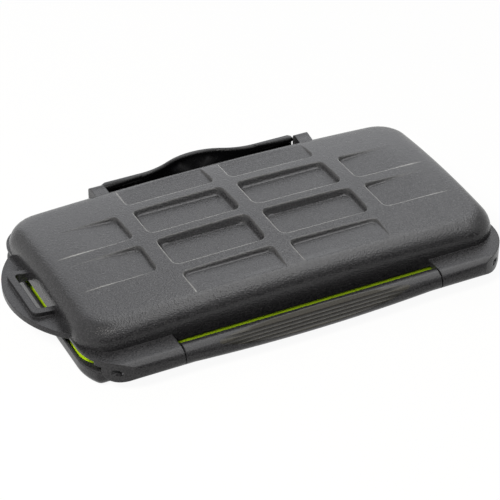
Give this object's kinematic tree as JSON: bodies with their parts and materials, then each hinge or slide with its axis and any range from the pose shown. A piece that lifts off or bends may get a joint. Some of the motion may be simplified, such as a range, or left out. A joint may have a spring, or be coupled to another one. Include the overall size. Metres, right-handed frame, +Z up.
{
  "type": "memory card case",
  "caption": "Flat hinged memory card case with a crowned, panelled lid, a strap loop, a flap latch, a seal band in the seam and pocketed card trays inside.",
  "frame": {"origin": "middle of the flat underside of the base", "axes": "+X along the case away from the strap loop, +Y from the hinge to the latch, +Z up through the lid"},
  "size_m": [0.1484, 0.088, 0.02],
  "materials": {
    "shell": "fine spark-eroded grain",
    "latch": "smooth moulded",
    "seal": "satin",
    "tray": "matt moulded",
    "pin": "ground"
  },
  "bodies": {
    "base": {"base_shell": "shell", "seal_band": "seal", "hinge_pin_left": "pin", "hinge_pin_right": "pin", "latch_pin": "pin", "base_card_tray": "tray"},
    "lid": {"lid_shell": "shell", "lid_card_tray": "tray"},
    "latch": {"latch": "latch"}
  },
  "joints": [
    {"name": "lid_hinge", "type": "hinge", "parent": "base", "child": "lid", "pos_m": [0, -0.0409, 0.00665], "axis": [1, 0, 0], "range_deg": [0, 125]},
    {"name": "latch_hinge", "type": "hinge", "parent": "base", "child": "latch", "pos_m": [0, 0.0391, 0.0032], "axis": [-1, 0, 0], "range_deg": [0, 75]}
  ]
}
